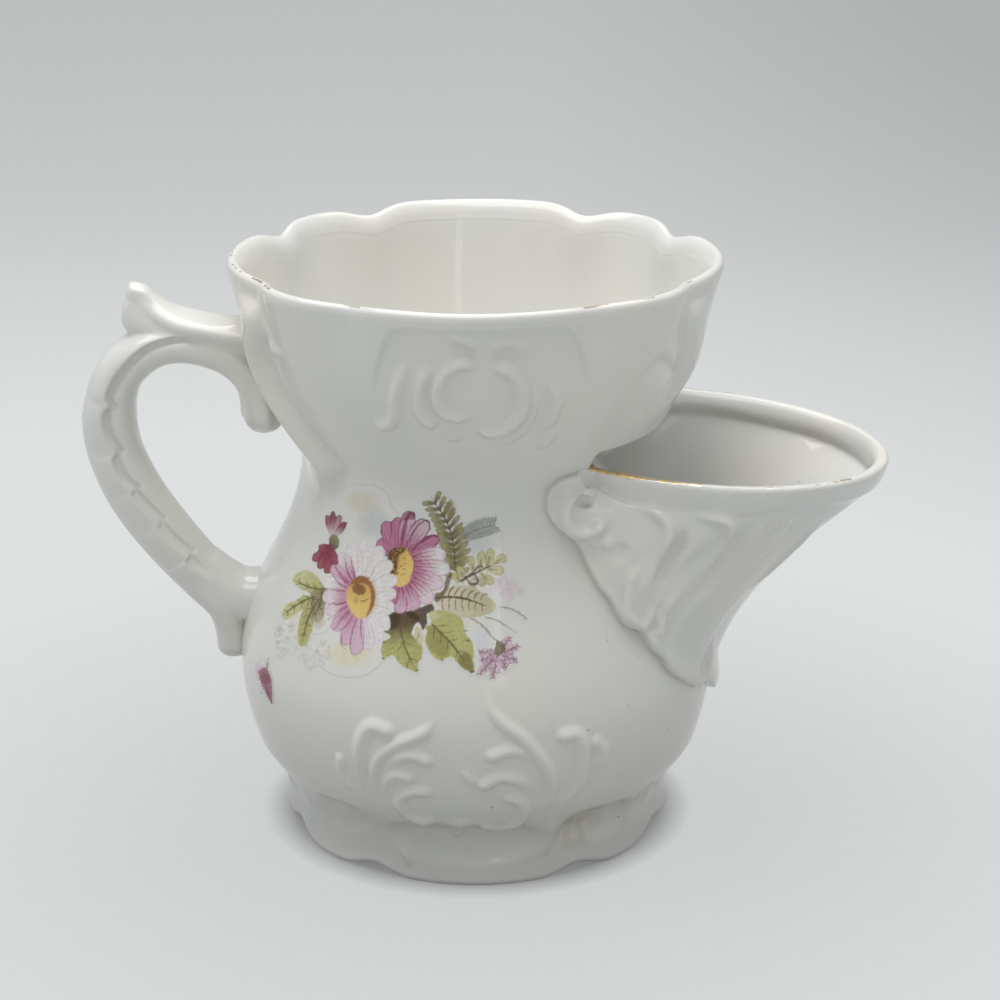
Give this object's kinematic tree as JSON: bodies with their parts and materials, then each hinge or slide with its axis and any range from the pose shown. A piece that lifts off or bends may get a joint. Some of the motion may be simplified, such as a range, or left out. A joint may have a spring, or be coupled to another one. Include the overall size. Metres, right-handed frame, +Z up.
{
  "type": "shaving scuttle",
  "caption": "White porcelain shaving scuttle: bulbous water pot with a lobed soap bowl on its neck, an open acanthus-leaf brush spout and a scrolled handle.",
  "frame": {"origin": "middle of the scuttle's plan box, on the table plane under its foot", "axes": "+X towards the brush spout, -X towards the handle, -Y towards the printed front, +Z up"},
  "size_m": [0.141, 0.085, 0.1025],
  "materials": {
    "porcelain": "clear glossy glaze over cool white porcelain",
    "gilding": "thin burnished gold line on the rim and lip, worn to traces",
    "print": "overglaze transfer print of a flower spray"
  },
  "bodies": {
    "root": {"water_pot": "porcelain", "soap_bowl": "porcelain", "soap_drainer": "porcelain", "brush_spout": "porcelain", "handle": "porcelain"}
  },
  "joints": []
}
